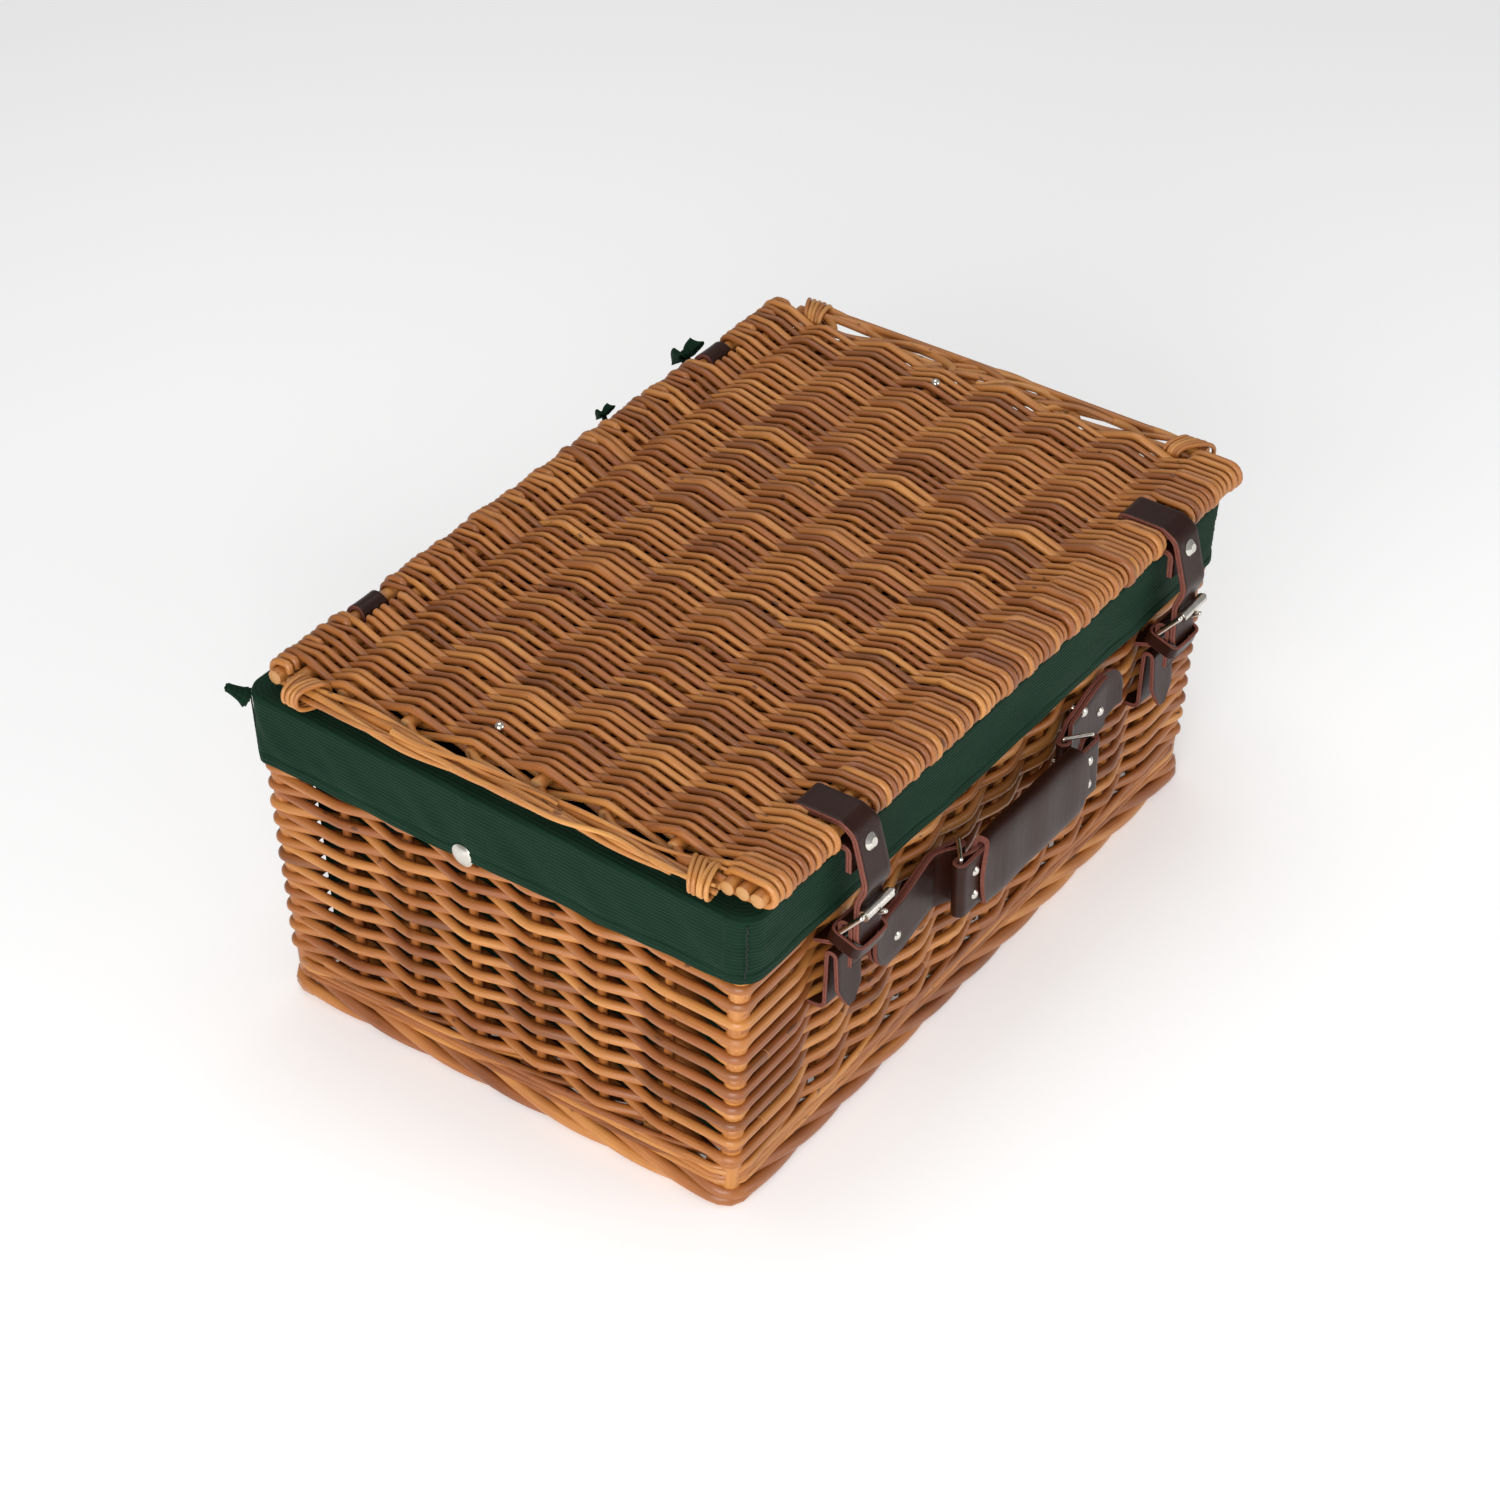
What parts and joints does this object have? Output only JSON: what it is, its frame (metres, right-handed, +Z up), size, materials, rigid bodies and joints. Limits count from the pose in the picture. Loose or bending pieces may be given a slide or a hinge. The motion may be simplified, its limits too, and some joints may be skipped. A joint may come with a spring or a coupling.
{
  "type": "lidded wicker hamper",
  "caption": "Rectangular woven willow hamper with a hinged lid, buttoned cloth lining, two buckled leather straps and a leather carrying handle.",
  "frame": {"origin": "middle of the bounding box's base, on the floor", "axes": "+X along the length, +Y from the buckled front to the hinges, +Z up"},
  "size_m": [0.463, 0.3386, 0.2116],
  "materials": {
    "willow": "buff willow weavers, thin varnish",
    "willow_stick": "buff willow rods, thin varnish, pale cut ends",
    "cloth": "dark green plain-woven cotton",
    "leather": "dark brown satin leather with raw reddish edges",
    "nickel": "nickel-plated wire and rivets"
  },
  "bodies": {
    "basket": {"base_sticks": "willow_stick", "base_weave": "willow", "foot_border": "willow", "waling": "willow", "rim_border": "willow", "corner_posts": "willow_stick", "stakes_front": "willow_stick", "stakes_back": "willow_stick", "stakes_left": "willow_stick", "stakes_right": "willow_stick", "weave_front": "willow", "weave_back": "willow", "weave_left": "willow", "weave_right": "willow", "liner_bag": "cloth", "liner_cuff": "cloth", "liner_snap": "nickel", "liner_tie_1": "cloth", "liner_tie_2": "cloth", "hinge_loop_left": "leather", "hinge_rivet_left": "nickel", "chape_left": "leather", "chape_tail_left": "leather", "keeper_left": "leather", "handle_tab_left": "leather", "tab_rivets_left": "nickel", "hinge_loop_right": "leather", "hinge_rivet_right": "nickel", "chape_right": "leather", "chape_tail_right": "leather", "keeper_right": "leather", "handle_tab_right": "leather", "tab_rivets_right": "nickel"},
    "lid": {"lid_weave": "willow", "lid_sticks": "willow_stick", "lid_end_left": "willow", "lid_end_right": "willow", "lid_corner_ties": "willow", "lid_rivet_left": "nickel", "strap_rivet_left": "nickel", "lid_rivet_right": "nickel", "strap_rivet_right": "nickel"},
    "handle_grip": {"grip_strip": "leather", "grip_cover": "leather", "grip_rivets": "nickel"},
    "strap_left": {"strap_left": "leather"},
    "buckle_left": {"buckle_frame_left": "nickel"},
    "roller_left": {"buckle_roller_left": "nickel"},
    "prong_left": {"buckle_prong_left": "nickel"},
    "loop_left": {"handle_loop_left": "nickel"},
    "strap_right": {"strap_right": "leather"},
    "buckle_right": {"buckle_frame_right": "nickel"},
    "roller_right": {"buckle_roller_right": "nickel"},
    "prong_right": {"buckle_prong_right": "nickel"},
    "loop_right": {"handle_loop_right": "nickel"}
  },
  "joints": [
    {"name": "lid_hinge", "type": "hinge", "parent": "basket", "child": "lid", "pos_m": [0, 0.14774, 0.2033], "axis": [-1, 0, 0], "range_deg": [0, 105], "deforming": ["strap_left", "strap_right"]},
    {"name": "strap_left_swing", "type": "hinge", "parent": "lid", "child": "strap_left", "pos_m": [-0.148, -0.15196, 0.19], "axis": [-1, 0, 0], "range_deg": [0, 75], "deforming": ["strap_left"]},
    {"name": "buckle_left_turn", "type": "hinge", "parent": "basket", "child": "buckle_left", "pos_m": [-0.148, -0.15196, 0.1485], "axis": [1, 0, 0], "range_deg": [0, 25], "deforming": ["strap_left"]},
    {"name": "prong_left_turn", "type": "hinge", "parent": "buckle_left", "child": "prong_left", "pos_m": [-0.148, -0.15196, 0.1485], "axis": [1, 0, 0], "range_deg": [0, 35], "deforming": ["strap_left"]},
    {"name": "roller_left_spin", "type": "hinge", "parent": "buckle_left", "child": "roller_left", "pos_m": [-0.148, -0.16314, 0.16196], "axis": [1, 0, 0], "continuous": true},
    {"name": "strap_right_swing", "type": "hinge", "parent": "lid", "child": "strap_right", "pos_m": [0.148, -0.15196, 0.19], "axis": [-1, 0, 0], "range_deg": [0, 75], "deforming": ["strap_right"]},
    {"name": "buckle_right_turn", "type": "hinge", "parent": "basket", "child": "buckle_right", "pos_m": [0.148, -0.15196, 0.1485], "axis": [1, 0, 0], "range_deg": [0, 25], "deforming": ["strap_right"]},
    {"name": "prong_right_turn", "type": "hinge", "parent": "buckle_right", "child": "prong_right", "pos_m": [0.148, -0.15196, 0.1485], "axis": [1, 0, 0], "range_deg": [0, 35], "deforming": ["strap_right"]},
    {"name": "roller_right_spin", "type": "hinge", "parent": "buckle_right", "child": "roller_right", "pos_m": [0.148, -0.16314, 0.16196], "axis": [1, 0, 0], "continuous": true},
    {"name": "handle_pull", "type": "slide", "parent": "basket", "child": "handle_grip", "axis": [0, -1, 0], "range_m": [0, 0.0025]},
    {"name": "handle_loop_left_turn", "type": "hinge", "parent": "basket", "child": "loop_left", "pos_m": [-0.0564, -0.15046, 0.116], "axis": [0, 0, 1], "range_deg": [0, 13.4]},
    {"name": "handle_loop_right_turn", "type": "hinge", "parent": "basket", "child": "loop_right", "pos_m": [0.0436, -0.15046, 0.116], "axis": [0, 0, 1], "range_deg": [-13.4, 0]}
  ],
  "couplings": [
    {"joint": "handle_loop_left_turn", "follows": "handle_pull", "rad_per_m": 92.607},
    {"joint": "handle_loop_right_turn", "follows": "handle_pull", "rad_per_m": -92.607}
  ]
}
